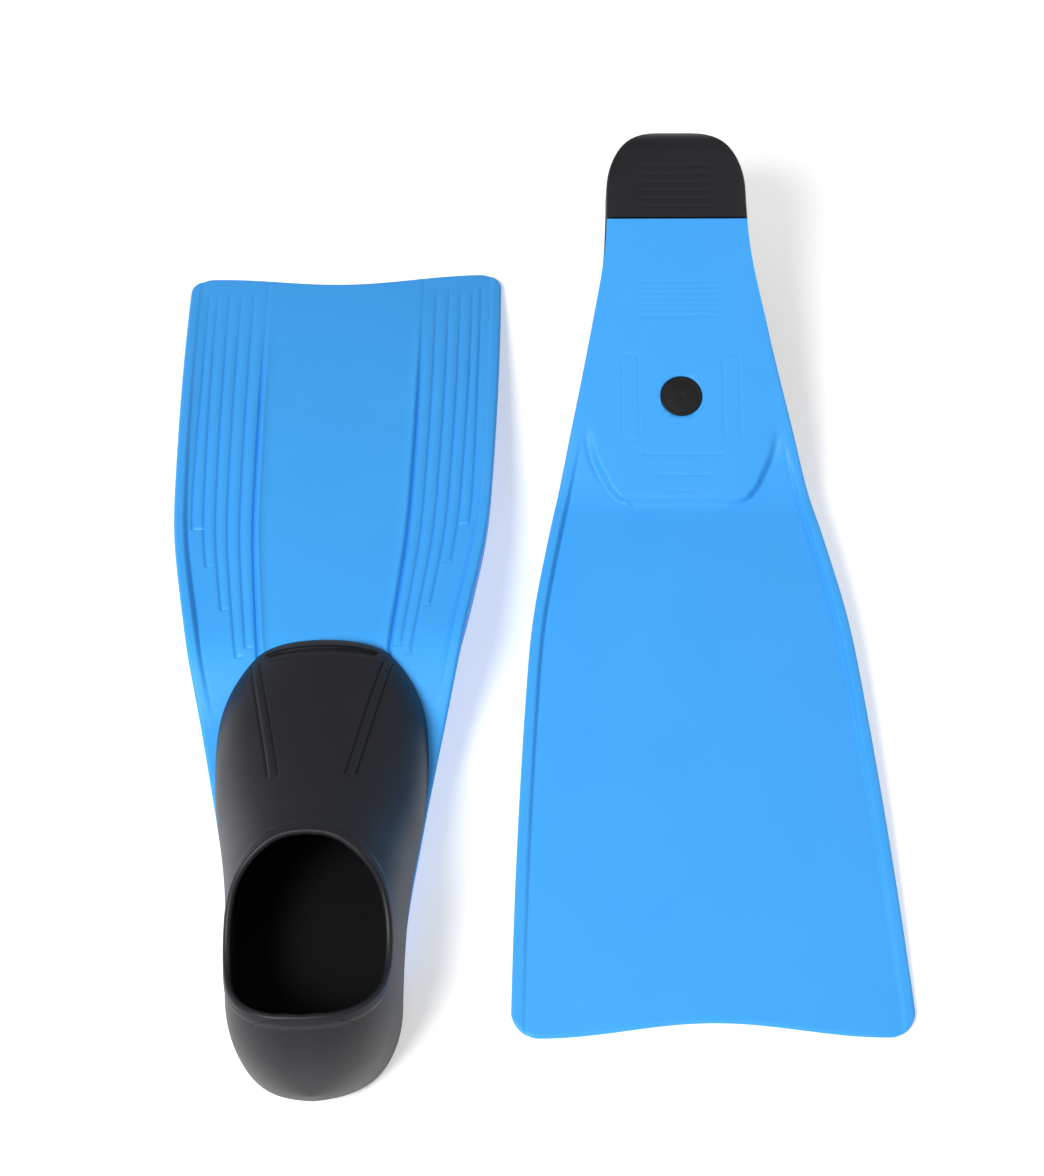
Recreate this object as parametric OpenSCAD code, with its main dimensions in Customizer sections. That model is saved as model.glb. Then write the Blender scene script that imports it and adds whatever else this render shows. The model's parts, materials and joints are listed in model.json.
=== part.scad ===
// A pair of full-foot swim fins: one lies sole down, the other lies sole up beside it.
// Each fin is drawn once in its own frame (heel at y = 0, tip towards +Y, sole on z = 0),
// then laid on the ground twice. The blade's bend and the heel's give are hinges.

/* [Fin] */
// Length along the moulding, from the heel to the blade's tip corners
fin_l = 628; // [600:1:660]
// Width across the black heel
heel_w = 95; // [88:1:100]
// Width of the blue sole at the middle of the foot
arch_w = 117; // [112:1:124]
// Width where the blade's edges stop spreading fast
shoulder_w = 192; // [180:1:200]
// Width across the tip
tip_w = 226; // [215:1:235]
// Angle by which the blade leans down from the sole
blade_angle = 18.5; // [15:0.5:22]

/* [Blue moulding] */
// Thickness of the flat sole
sole_t = 5; // [4:0.5:6]
// Thickness of the blade at its root
blade_t_root = 5.5; // [4.5:0.5:6.5]
// Thickness of the blade at its tip
blade_t_tip = 3.2; // [2.5:0.1:4]
// Where the black heel ends and the blue sole starts
sole_start = 73; // [68:1:78]
// Where the side rails rise out of the sole
rail_start = 215; // [205:1:225]
// Width of a side rail
rail_w = 8; // [6:0.5:10]
// Depth of a side rail at the blade's root
rail_h = 14; // [11:0.5:16]
// Depth of the hollow in the tip's edge
tip_scoop = 8; // [4:0.5:10]
// Radius of the tip's corners
tip_r = 16; // [10:1:20]

/* [Foot pocket] */
// Thickness of the rubber walls
wall = 4; // [3.5:0.5:5]
// Length of the pocket, from the heel to the toe
pocket_l = 268; // [264:1:270]
// Largest width of the pocket, across the ball of the foot
ball_w = 125; // [118:1:126]
// Height of the toe
toe_h = 30; // [28:1:32]
// Height of the rim in front of the ankle
rim_front_h = 88; // [86:1:90]
// Height of the rim beside the ankle
rim_side_h = 62; // [58:1:66]
// Height of the rim behind the heel
rim_rear_h = 85; // [80:1:88]
// Thickness of the footbed
footbed_t = 3; // [2.5:0.5:4]
// Diameter of the round plug in the sole
plug_d = 28; // [24:1:30]
// Distance from the heel to the plug
plug_y = 199; // [190:1:205]

/* [Hinges] */
// Distance from the toe to the line on which the blade bends
flex_gap = 90; // [85:1:100]
// Radius of the rounded knuckle on that line
knuckle_r = 9; // [8.5:0.5:10]
// Room left between parts that move on each other
clearance = 0.6; // [0.5:0.1:1]

/* [Placement] */
// Distance from the pair's middle line to the heel that lies sole down
left_x = 101.3; // [100:0.1:115]
// Distance from the pair's middle line to the tip that lies sole up
right_x = 117.2; // [112:0.1:125]
// Distance from the pair's middle, towards the front, to the heel that lies sole down
front_y = 325.6; // [320:0.1:330]
// Distance by which the tip that lies sole up stays behind that heel
stagger = 38; // [0:1:60]
// Outward turn of the fin that lies sole down
left_turn = 1.5; // [0:0.1:3]
// Inward turn of the fin that lies sole up
right_turn = 0.2; // [0:0.1:3]

/* [Hidden] */
$fn = 48;

blue = "#44a4f4";
black = "#2b2b30";

// --- curves -------------------------------------------------------------------------------
function ease(t) = let (c = min(max(t, 0), 1)) c * c * (3 - 2 * c);
function mix(a, b, t) = a + (b - a) * t;
// A smooth curve from (p[0], p[1]) to (q[0], q[1]), where the third value of each is the slope.
function span(p, q, s) = let (d = q[0] - p[0], t = (s - p[0]) / d)
    (2 * t * t * t - 3 * t * t + 1) * p[1] + (t * t * t - 2 * t * t + t) * d * p[2]
    + (3 * t * t - 2 * t * t * t) * q[1] + (t * t * t - t * t) * d * q[2];
// The same through a row of such stations.
function through(row, s, i = 0) =
    i == len(row) - 2 || s <= row[i + 1][0] ? span(row[i], row[i + 1], s) : through(row, s, i + 1);

// --- the blue moulding ------------------------------------------------------------------------
// Half-width along the path: [distance from the heel, half-width, slope].
edge_row = [[sole_start, heel_w / 2, 0.02], [150, arch_w / 2, 0.19], [342, shoulder_w / 2, 0.17],
            [400, shoulder_w / 2 + 6.5, 0.07], [fin_l, tip_w / 2, 0.02]];
function half_w(s) = through(edge_row, s);

// The middle of the moulding's thickness: flat in the sole, up under the toe, then down the blade.
bend_r = 60;
bend_y = pocket_l - 6;
bend_z = sole_t / 2 + 5;
bend_l = bend_r * blade_angle * PI / 180;
function mid_y(s) = s < bend_y ? s
    : s < bend_y + bend_l ? bend_y + bend_r * sin((s - bend_y) / bend_r * 180 / PI)
    : bend_y + bend_r * sin(blade_angle) + (s - bend_y - bend_l) * cos(blade_angle);
function mid_z(s) = s < bend_y ? mix(sole_t / 2, bend_z, ease((s - rail_start) / (bend_y - rail_start)))
    : s < bend_y + bend_l ? bend_z - bend_r * (1 - cos((s - bend_y) / bend_r * 180 / PI))
    : bend_z - bend_r * (1 - cos(blade_angle)) - (s - bend_y - bend_l) * sin(blade_angle);
function mid_turn(s) = s < bend_y ? 0 : min((s - bend_y) / bend_r * 180 / PI, blade_angle);
function plate_t(s) = s < pocket_l
    ? mix(sole_t, blade_t_root, ease((s - rail_start) / (pocket_l - rail_start)))
    : mix(blade_t_root, blade_t_tip, (s - pocket_l) / (fin_l - pocket_l));
// The rails are deepest just past the toe, and almost level with the plate at the tip.
rail_top_s = pocket_l + 30;
rail_t_tip = blade_t_tip + 0.8;
function rail_t(s) = s < rail_top_s
    ? mix(plate_t(s), rail_h, ease((s - rail_start) / (rail_top_s - rail_start)))
    : mix(rail_h, rail_t_tip, (s - rail_top_s) / (fin_l - rail_top_s));
// A point of the side view, a share k of the thickness t above the middle.
function side_point(s, t, k) = [mid_y(s) + k * t * sin(mid_turn(s)), mid_z(s) + k * t * cos(mid_turn(s))];
side_steps = concat([sole_start], [for (s = [rail_start : 8 : bend_y]) s],
                    [for (s = [bend_y : bend_l / 4 : bend_y + bend_l]) s],
                    [for (s = [bend_y + bend_l + 10 : 30 : fin_l + 30]) s]);
last_step = len(side_steps) - 1;

module side_band(rail) {
    upper = [for (s = side_steps) side_point(s, rail ? rail_t(s) : plate_t(s), 0.5)];
    lower = [for (s = side_steps) side_point(s, rail ? rail_t(s) : plate_t(s), -0.5)];
    points = concat(upper, [for (i = [last_step : -1 : 0]) lower[i]]);
    rotate([90, 0, 90]) linear_extrude(height = tip_w + 20, center = true) polygon(points);
}

// The outline seen from above. The tip is an arc at each corner with a shallow hollow between.
tip_y = mid_y(fin_l);
function tip_edge(x) = tip_y - tip_scoop * (1 + cos(min(abs(x) / (tip_w / 2 - tip_r), 1) * 180)) / 2;
function side_outline(inset) =
    [for (s = [sole_start : 11 : fin_l - tip_r - 2]) [half_w(s) - inset, mid_y(s)]];
function tip_outline(inset) = concat(
    [for (a = [0 : 15 : 90]) [tip_w / 2 - inset - tip_r * (1 - cos(a)), tip_y - tip_r * (1 - sin(a))]],
    [for (x = [tip_w / 2 - inset - tip_r - 8 : -8 : 0]) [x, tip_edge(x)]]);
function mirrored(points) =
    concat(points, [for (i = [len(points) - 1 : -1 : 0]) [-points[i][0], points[i][1]]]);

module outline() polygon(mirrored(concat(side_outline(0), tip_outline(0))));
module rail_inner() polygon(mirrored(concat(side_outline(rail_w), [[tip_w / 2 - rail_w, tip_y + 20]])));

// An outline made taller than the whole moulding.
module tall() translate([0, 0, -160]) linear_extrude(height = 240) children();

// The proud toe end of the sole, under the pocket: flat below, and rounded up at the front.
bulge_back = rail_start - 20;
bulge_front = pocket_l - 4;
bulge_nose = [12, 9];
module toe_bulge() intersection() {
    tall() polygon(mirrored([for (s = [sole_start : 12 : bulge_front]) [pocket_half_w(s) - 0.5, s],
                             [pocket_half_w(pocket_l) - 6, pocket_l + 5], [0, pocket_l + 7]]));
    rotate([90, 0, 90]) linear_extrude(height = tip_w, center = true)
        polygon([[bulge_back, 0], [bulge_front, 0],
                 for (a = [15 : 15 : 90])
                     [bulge_front + bulge_nose[0] * sin(a), bulge_nose[1] * (1 - cos(a))],
                 [bulge_back, sole_t]]);
}

module moulding() {
    intersection() {
        tall() outline();
        side_band(false);
    }
    intersection() {
        tall() difference() {
            outline();
            rail_inner();
        }
        side_band(true);
    }
    toe_bulge();
}

// The line on which the blade bends.
flex_s = pocket_l + flex_gap;
module at_flex() translate([0, mid_y(flex_s), mid_z(flex_s)]) rotate([-blade_angle, 0, 0]) children();
module knuckle(r) at_flex() rotate([0, 90, 0]) cylinder(r = r, h = tip_w + 20, center = true);
module beyond_flex() at_flex() translate([-tip_w, 0, -200]) cube([2 * tip_w, fin_l, 400]);

// The plug sits flush in the sole, and its wide head inside the pocket holds it there.
head_t = 1.5;
head_d = plug_d + 8;
module plug_hole() translate([0, plug_y, 0]) {
    translate([0, 0, -1]) cylinder(d = plug_d, h = sole_t + 2);
    translate([0, 0, sole_t - head_t]) cylinder(d = head_d, h = 2 * head_t);
}

// --- the black foot pocket ---------------------------------------------------------------------
// Half-width of the pocket: [distance from the heel, half-width, slope].
pocket_row = [[55, heel_w / 2, 0.02], [95, heel_w / 2 + 2, 0.08], [150, ball_w / 2 - 4.5, 0.2],
              [200, ball_w / 2, 0], [240, ball_w / 2 - 6, -0.35], [pocket_l, 38, -1.1]];
heel_r = 55;
function pocket_half_w(y) = y < heel_r
    ? heel_w / 2 * sqrt(max(1 - pow((heel_r - y) / heel_r, 2.3), 0.02)) : through(pocket_row, y);
// Height of the pocket if it had no opening: [distance from the heel, height, slope].
top_row = [[0, 34, 3.2], [24, 79, 1.2], [60, 104, 0.3], [100, 100, -0.35],
           [130, rim_front_h, -0.55], [200, 53, -0.4], [pocket_l - 10, toe_h, -0.42],
           [pocket_l, toe_h - 7, -0.9]];
function pocket_top(y) = through(top_row, y);
function heel_lift(y) = y < 26 ? 20 * pow((26 - y) / 26, 3) : 0;
stations = [0.5, 2.5, 6, 11, 17, 24, 34, 46, 58, 74, 90, 104, 117, 126, 136, 150, 168, 186, 204, 222, 238,
            252, 261, pocket_l];

// A slice across the pocket: upright beside the ankle, and rounder over the foot.
module slice(y, inset) {
    w = pocket_half_w(y) - inset;
    low = inset > 0 ? max(sole_t, heel_lift(y) + inset) : heel_lift(y);
    h = pocket_top(y) - inset - low;
    k = mix(0.72, 0.92, ease((y - 70) / 90));
    translate([0, y, low]) rotate([90, 0, 0]) linear_extrude(height = 0.2, center = true)
        polygon([for (a = [0 : 9 : 180]) [w * sign(cos(a)) * pow(abs(cos(a)), k), h * pow(sin(a), k)]]);
}
module loft(inset, rows) for (i = [0 : len(rows) - 2]) hull() {
    slice(rows[i], inset);
    slice(rows[i + 1], inset);
}

// Everything above the rim, which dips beside the ankle.
rim_row = [[30, rim_rear_h, -0.75], [66, rim_side_h, -0.1], [98, rim_side_h + 7, 0.5],
           [118, rim_front_h - 5.6, 0.6], [131, rim_front_h - 0.2, 0.25]];
module above_rim() rotate([90, 0, 90]) linear_extrude(height = tip_w, center = true)
    polygon([[-20, 160], [-20, rim_rear_h + 25], for (y = [rim_row[0][0] : 5 : 131]) [y, through(rim_row, y)],
             [136, 160]]);

// The rubber behind and above this slanting plane leans back when the foot goes in.
heel_plane_y = 37;
heel_plane_z = 44;
heel_plane_turn = 37;
module behind_heel_plane(gap = 0) translate([0, heel_plane_y, heel_plane_z]) rotate([heel_plane_turn, 0, 0])
    translate([-tip_w / 2, -150, gap]) cube([tip_w, 300, 150]);

module pocket_rubber() {
    inner_rows = [for (y = stations) if (y > wall + 2 && y < pocket_l - wall) y];
    difference() {
        loft(0, stations);
        loft(wall, concat([wall + 1], inner_rows, [pocket_l - wall]));
        above_rim();
    }
}

// --- the pieces of one fin -----------------------------------------------------------------------
module sole_plate() color(blue) difference() {
    moulding();
    beyond_flex();
    knuckle(knuckle_r + clearance);
    plug_hole();
}

module blade() color(blue) intersection() {
    moulding();
    union() {
        beyond_flex();
        knuckle(knuckle_r);
    }
}

module sole_plug() color(black) translate([0, plug_y, 0]) {
    cylinder(d = plug_d, h = sole_t);
    translate([0, 0, sole_t - head_t]) cylinder(d = head_d, h = head_t);
}

module foot_pocket() color(black) difference() {
    pocket_rubber();
    moulding();
    translate([-tip_w / 2, sole_start, -1]) cube([tip_w, pocket_l, sole_t + 1]);
    behind_heel_plane();
}

module heel_cup() color(black) intersection() {
    pocket_rubber();
    behind_heel_plane(clearance);
}

// The footbed lies loose on the flat floor, between the heel's rise and the toe's.
bed_gap = 1.5;
module footbed() color(black) difference() {
    translate([0, 0, sole_t]) linear_extrude(height = footbed_t)
        polygon(mirrored([for (y = [20 : 9 : bend_y - 24]) [pocket_half_w(y) - wall - bed_gap, y]]));
    moulding();
}

// --- laying the pair on the ground -------------------------------------------------------------
// Sole down, a fin rests on its heel and its tip; sole up, on its front rim and its tip.
heel_rest = [19, heel_lift(19)];
rim_rest = [131, rim_front_h - 0.6];
tip_under = side_point(fin_l, blade_t_tip, -0.5);
tip_over = side_point(fin_l, blade_t_tip, 0.5);
left_pitch = atan2(heel_rest[1] - tip_under[1], tip_under[0] - heel_rest[0]);
right_pitch = atan2(rim_rest[1] - tip_over[1], tip_over[0] - rim_rest[0]);
ground_lift = 0.25;

module lay_left() translate([-left_x, -front_y, ground_lift]) rotate([0, 0, left_turn])
    rotate([left_pitch, 0, 0]) translate([0, 0, -heel_rest[1] - heel_rest[0] * tan(left_pitch)]) children();
module lay_right() translate([right_x, stagger - front_y, ground_lift]) rotate([0, 0, right_turn])
    rotate([180 + right_pitch, 0, 0]) translate([0, -tip_over[0], -tip_over[1]]) children();

lay_left() sole_plate();  // left_sole_plate
lay_left() foot_pocket();  // left_foot_pocket
lay_left() heel_cup();  // left_heel_cup
lay_left() footbed();  // left_footbed
lay_left() sole_plug();  // left_sole_plug
lay_left() blade();  // left_blade
lay_right() sole_plate();  // right_sole_plate
lay_right() foot_pocket();  // right_foot_pocket
lay_right() heel_cup();  // right_heel_cup
lay_right() footbed();  // right_footbed
lay_right() sole_plug();  // right_sole_plug
lay_right() blade();  // right_blade
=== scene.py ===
# %% [markdown]
# # A pair of full-foot swim fins
# Each fin is a blue blade moulded in one piece with its sole, with a black rubber shoe moulded
# over the sole. One fin lies sole down, the other sole up beside it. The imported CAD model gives
# the place of every part and the lines on which the blade bends and the heel gives. This script
# draws the same parts as finer meshes in the same place, with their real materials.

# %% Load the frame
import json
import math

import bmesh
import bpy
from mathutils import Matrix, Vector
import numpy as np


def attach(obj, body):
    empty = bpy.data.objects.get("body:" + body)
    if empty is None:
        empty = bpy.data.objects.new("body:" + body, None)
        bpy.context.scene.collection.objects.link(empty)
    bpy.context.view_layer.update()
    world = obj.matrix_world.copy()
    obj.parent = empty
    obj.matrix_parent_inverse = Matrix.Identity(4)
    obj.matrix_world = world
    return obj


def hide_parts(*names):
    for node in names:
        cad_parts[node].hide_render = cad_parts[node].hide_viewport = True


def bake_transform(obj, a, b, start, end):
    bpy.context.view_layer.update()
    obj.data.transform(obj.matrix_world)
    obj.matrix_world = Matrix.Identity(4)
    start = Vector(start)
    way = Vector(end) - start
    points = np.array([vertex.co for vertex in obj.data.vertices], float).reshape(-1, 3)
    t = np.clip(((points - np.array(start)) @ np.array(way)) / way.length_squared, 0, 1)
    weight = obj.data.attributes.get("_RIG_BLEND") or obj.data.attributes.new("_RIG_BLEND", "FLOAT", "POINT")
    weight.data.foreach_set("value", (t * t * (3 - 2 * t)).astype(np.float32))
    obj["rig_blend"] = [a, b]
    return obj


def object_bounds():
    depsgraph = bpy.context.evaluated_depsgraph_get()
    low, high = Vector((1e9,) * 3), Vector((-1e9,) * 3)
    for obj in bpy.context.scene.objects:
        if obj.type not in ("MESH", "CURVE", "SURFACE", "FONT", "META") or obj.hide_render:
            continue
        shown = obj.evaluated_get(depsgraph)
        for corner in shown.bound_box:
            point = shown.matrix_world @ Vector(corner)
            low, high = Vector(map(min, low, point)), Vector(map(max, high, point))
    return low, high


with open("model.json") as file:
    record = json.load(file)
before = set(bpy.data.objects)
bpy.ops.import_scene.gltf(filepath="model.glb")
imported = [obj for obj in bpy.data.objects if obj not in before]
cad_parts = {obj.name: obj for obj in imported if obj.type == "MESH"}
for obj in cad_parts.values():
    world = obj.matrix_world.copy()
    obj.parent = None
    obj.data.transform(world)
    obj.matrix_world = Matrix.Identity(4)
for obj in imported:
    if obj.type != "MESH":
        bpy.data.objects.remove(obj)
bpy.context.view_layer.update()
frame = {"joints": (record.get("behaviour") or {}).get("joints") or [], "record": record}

# %% [markdown]
# ## One drawing for both fins
# The two fins come out of the same mould, so each piece is drawn once, in millimetres, in the
# fin's own frame: x across, y from the heel to the tip, z up from the flat of the sole. The
# frame's heel hinge gives the direction across a fin and its sole mount gives the direction up,
# so a matrix can lay the drawing where the CAD has that fin.

# %% Place of each fin
SIDES = ("left", "right")
SOLE_MOUNT_Y = 130
joints = {joint["name"]: joint for joint in frame["joints"]}
mounts = {mount["name"]: mount for mount in frame["record"]["mounts"]}


def fin_matrix(side):
    """The matrix from a fin's own frame, in mm, to the shared frame, in m."""
    across = Vector(joints[f"{side}_heel_stretch"]["axis"]).normalized()
    up = -Vector(mounts[f"{side}_sole"]["axis"]).normalized()
    ahead = up.cross(across)
    scale = 0.001
    heel = Vector(mounts[f"{side}_sole"]["pos_m"]) - SOLE_MOUNT_Y * scale * ahead
    turn = Matrix((across, ahead, up)).transposed().to_4x4()
    return Matrix.Translation(heel) @ turn @ Matrix.Scale(scale, 4)


place = {side: fin_matrix(side) for side in SIDES}
print("heels at", {side: [round(n, 4) for n in place[side].translation] for side in SIDES})

# %% [markdown]
# ## Curves
# A mould maker draws a fin with a few stations joined by smooth curves. `through` does that: it
# takes rows of distance, value and slope, and gives the value at any distance between them.
# `ease` goes softly from 0 to 1, and `dome` is a soft bump one wide on each side of zero.


# %% Curve helpers
def ease(t):
    c = min(max(t, 0.0), 1.0)
    return c * c * (3 - 2 * c)


def mix(a, b, t):
    return a + (b - a) * t


def dome(t):
    return (1 - t * t) ** 2 if abs(t) < 1 else 0.0


def through(row, s):
    """A smooth curve through stations of [distance, value, slope]."""
    last = len(row) - 2
    k = next((i for i in range(last) if s <= row[i + 1][0]), last)
    (s0, v0, m0), (s1, v1, m1) = row[k], row[k + 1]
    d = s1 - s0
    t = (s - s0) / d
    rise = 3 * t * t - 2 * t**3
    return mix(v0, v1, rise) + (t**3 - 2 * t * t + t) * d * m0 + (t**3 - t * t) * d * m1


def steps(start, stop, step):
    """Distances from start to just short of stop."""
    count = max(1, round((stop - start) / step))
    return [start + (stop - start) * i / count for i in range(count)]


# %% [markdown]
# ## The blue moulding: sole, blade and rails
# The sole is 5 mm thick and flat. It rises under the toe, bends down by 18.5 degrees and thins to
# 3.2 mm at the tip, and a rail stiffens each edge. Such a part could be a box model with a
# Subdivision Surface, but its thin grooves follow the outline, and a box model would need an edge
# loop for each. Here a flat grid is wrapped round half of the section instead. Its columns follow
# the grooves, its rows are close where a detail crosses them, and a mirror makes the other half.

# %% Outline and side view of the moulding
FIN_L, TIP_W, TIP_R, TIP_SCOOP = 628, 226, 16, 8
SOLE_START, SOLE_T, RAIL_START = 73, 5, 215
EDGE = [[73, 47.5, 0.02], [150, 58.5, 0.19], [342, 96, 0.17], [400, 102.5, 0.07], [628, 113, 0.02]]
BEND_Y, BEND_R, BEND_Z = 262, 60, 7.5
BLADE_TURN = math.radians(18.5)
BEND_L = BEND_R * BLADE_TURN
POCKET_L = 268
RAIL_TOP_S = POCKET_L + 30
ROOT_T, TIP_T, RAIL_ROOT_T, RAIL_TIP_T = 5.5, 3.2, 14, 4


def half_w(s):
    """Half of the width at path length s."""
    return through(EDGE, s)


def middle(s):
    """Where the middle of the thickness is at path length s: y, z and its downward turn."""
    if s < BEND_Y:
        rise = ease((s - RAIL_START) / (BEND_Y - RAIL_START))
        return s, mix(SOLE_T / 2, BEND_Z, rise), 0.0
    turn = min((s - BEND_Y) / BEND_R, BLADE_TURN)
    past = max(s - BEND_Y - BEND_L, 0)
    y = BEND_Y + BEND_R * math.sin(turn) + past * math.cos(BLADE_TURN)
    z = BEND_Z - BEND_R * (1 - math.cos(turn)) - past * math.sin(BLADE_TURN)
    return y, z, turn


def plate_t(s):
    """Thickness between the rails."""
    if s < POCKET_L:
        return mix(SOLE_T, ROOT_T, ease((s - RAIL_START) / (POCKET_L - RAIL_START)))
    return mix(ROOT_T, TIP_T, (s - POCKET_L) / (FIN_L - POCKET_L))


def rail_t(s):
    """Thickness of the rails."""
    if s < RAIL_TOP_S:
        return mix(plate_t(s), RAIL_ROOT_T, ease((s - RAIL_START) / (RAIL_TOP_S - RAIL_START)))
    return mix(RAIL_ROOT_T, RAIL_TIP_T, (s - RAIL_TOP_S) / (FIN_L - RAIL_TOP_S))


TIP_Y = middle(FIN_L)[0]


def path_end(x):
    """Path length at which the blade ends, for a point x from its middle line."""
    flat = TIP_W / 2 - TIP_R
    if x <= flat:
        back = TIP_SCOOP * (1 + math.cos(math.pi * x / flat)) / 2
    else:
        back = TIP_R - math.sqrt(max(TIP_R**2 - (x - flat) ** 2, 0))
    return FIN_L - back / math.cos(BLADE_TURN)


print(f"moulding: tip at y {TIP_Y:.1f} mm, widest {2 * half_w(FIN_L):.0f} mm")

# %% [markdown]
# The top of the blade has a bead with a groove outside it on each side of a smooth middle panel,
# then five thin grooves that follow the outline. A short bar joins the end of the outermost to its
# neighbour, and the others end one after the other, each with a short foot. The columns of the
# grid sit on these lines, so a groove 3.2 mm wide gets seven columns and keeps a clean edge
# however it slants.

# %% Columns across the top and the underside
RAIL_FOOT = 9
RIDGE_SHARE = 0.545
LINE_SHARES = (0.637, 0.725, 0.806, 0.889)
LINE_ENDS = (268, 262.5, 298, 335, 368)
NEAR_LINE = (-1.6, -1.05, -0.55, 0, 0.55, 1.05, 1.6)
NEAR_RIDGE = (-5.4, -4.5, -3.6, -2.8, -2.2, -1.7, -1.1, -0.55, 0, 0.55, 1.1, 1.7)
NEAR_RAIL = (8.6, 7.9, 7.1, 6.2, 5.4, 4.6, 3.8, 3.0)
EDGE_ARC = [math.radians(a) for a in range(0, 91, 15)]
EDGE_R = 2.2
UNDER = [0, 3, 6, 9, 11, 12.4, 14, 17, 19, 20.4, 22, 24, 25.4, 26.4]
UNDER += [27.1, 27.6, 28, 28.4, 28.9, 30, 32, 34, 36, 37.4, 38.1, 38.6, 39, 39.4, 39.9]


def line_shares(s):
    """The five grooves, as shares of the width inside the rails."""
    return LINE_SHARES + (mix(0.972, 0.95, ease((s - 368) / 160)),)


def rail_columns(s):
    """Columns over a rail and round its edge, as distances from the middle line."""
    w = half_w(s)
    r = min(EDGE_R, rail_t(s) / 2)
    return [w - d for d in NEAR_RAIL] + [w - r + r * math.sin(a) for a in EDGE_ARC]


def top_columns(s):
    """Columns across the top: the middle panel, the bead, the five grooves and the rail."""
    inside = half_w(s) - RAIL_FOOT
    tight = min(1, inside / 60)
    ridge = RIDGE_SHARE * inside
    row = [(ridge + NEAR_RIDGE[0] * tight) * i / 11 for i in range(11)]
    row += [ridge + d * tight for d in NEAR_RIDGE]
    for share in line_shares(s):
        line = share * inside
        row.append((row[-1] + line + NEAR_LINE[0] * tight) / 2)
        row += [line + d * tight for d in NEAR_LINE]
    return row + rail_columns(s)


COLUMNS = len(top_columns(300))


def under_columns(s):
    """Columns across the underside, which become those of the top towards the tip."""
    inside = half_w(s) - RAIL_FOOT
    fixed = [x * min(1, inside / 52) for x in UNDER]
    rail = rail_columns(s)
    spread = COLUMNS - len(fixed) - len(rail)
    free = [mix(fixed[-1], rail[0], (i + 1) / (spread + 1)) for i in range(spread)]
    flat = fixed + free + rail
    like_top = ease((s - 540) / 60)
    return [mix(a, b, like_top) for a, b in zip(flat, top_columns(s))]


print("moulding: half of the section has", 2 * COLUMNS + 1, "columns")

# %% [markdown]
# The relief is a few functions of the place on the surface. Each gives how far the surface stands
# proud there, in mm: the bead and grooves on top, and on the underside the proud end of the sole
# under the toe with a crease on each side of it, the grip ribs, the slots and the rails.

# %% Relief of the top
GROOVE_DEEP = 1.2
U_S = LINE_ENDS[-1]


def top_relief(x, s):
    """How far the top stands proud: the bead, its deep groove, and the five thin grooves."""
    inside = half_w(s) - RAIL_FOOT
    ridge = RIDGE_SHARE * inside
    strength = 1 - 0.85 * ease((s - 470) / 130)
    proud = strength * (1.2 * dome((x - ridge + 3.1) / 2.3) - 2.1 * dome((x - ridge) / 1.7))
    fade = 1 - 0.55 * ease((s - 520) / 90)
    fade *= 1 - ease((s - 604) / 10)
    lines = [share * inside for share in line_shares(s)]
    deep = 0.0
    for line, end in zip(lines, LINE_ENDS):
        deep = max(deep, dome((x - line) / 1.6) * ease((s - end + 1.2) / 1.2))
        foot = 3.8 if end < U_S else 0
        across = ease((x - line + foot) / 1.2) * ease((line - x + 0.8) / 0.8)
        deep = max(deep, 0.9 * dome((s - end) / 1.2) * across if foot else 0)
    across = ease((x - lines[3] + 0.6) / 0.6) * ease((lines[4] - x + 0.6) / 0.6)
    deep = max(deep, dome((s - U_S) / 1.2) * across)
    return proud - GROOVE_DEEP * deep * fade


FOOT_DEEP = 0.5


def rail_profile(x, s):
    """Half of the thickness at x, with a thin groove at the rail's foot and its rounded edge."""
    d = max(half_w(s) - x, 0)
    plate, rail = plate_t(s) / 2, rail_t(s) / 2
    half = mix(plate, rail, ease((RAIL_FOOT - d) / 3.6))
    half -= FOOT_DEEP * dome((d - 8.1) / 1.5) * ease((s - 225) / 40)
    r = min(EDGE_R, rail)
    if d < r:
        half += math.sqrt(max(r * r - (r - d) ** 2, 0)) - r
    return half


# %% Relief of the underside
BULGE = [[195, 62, 0], [219, 63, -0.1], [250, 56, -0.5], [266, 47, -0.95]]
BULGE_NOSE = 10
SLOTS, SLOT_MARK_DEEP = ((239, 27), (253, 20), (264.5, 12)), 0.55
RIB_FIRST, RIB_LAST, RIB_PITCH, RIB_HALF_X, RIB_DEEP = 118.5, 142.5, 4.0, 26.5, 0.32
PANEL_X, PANEL_S, PANEL_DEEP = (28, 39), (170, 229), 0.24


def bulge_half(s):
    """Half-width of the proud end of the sole."""
    if s < BULGE[-1][0]:
        return through(BULGE, max(s, BULGE[0][0]))
    t = min((s - BULGE[-1][0]) / BULGE_NOSE, 1)
    return BULGE[-1][1] * math.sqrt(1 - t * t)


def bulge_depth(s):
    """How far below the middle the flat of the sole goes on, and its rounded nose."""
    y, z, turn = middle(s)
    flat_to = POCKET_L - 4
    nose = min(max((y - flat_to) / 12, 0), 1)
    return (z - 9 * (1 - math.sqrt(1 - nose * nose))) / math.cos(turn)


def sole_marks(x, s):
    """Depth of the grip ribs, the slots under the toe and the two long panels by the plug."""
    deep = 0.0
    if RIB_FIRST - 1 < s < RIB_LAST + 1:
        at = (s - RIB_FIRST) / RIB_PITCH
        deep = RIB_DEEP * dome((at - round(at)) * RIB_PITCH / 0.9) * ease((RIB_HALF_X - x) / 1.5)
    for slot_s, reach in SLOTS:
        deep = max(deep, SLOT_MARK_DEEP * dome((s - slot_s) / 1.5) * ease((reach - x) / 2))
    for line in PANEL_X:
        ends = ease((s - PANEL_S[0]) / 2) * ease((PANEL_S[1] - s) / 2)
        deep = max(deep, PANEL_DEEP * dome((x - line) / 0.9) * ends)
    for end in PANEL_S:
        between = ease((x - PANEL_X[0] + 0.5) / 1) * ease((PANEL_X[1] + 0.5 - x) / 1)
        deep = max(deep, PANEL_DEEP * dome((s - end) / 1.2) * between)
    return deep


CREASE_S, CREASE_DEEP = 241, 1.2


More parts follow.
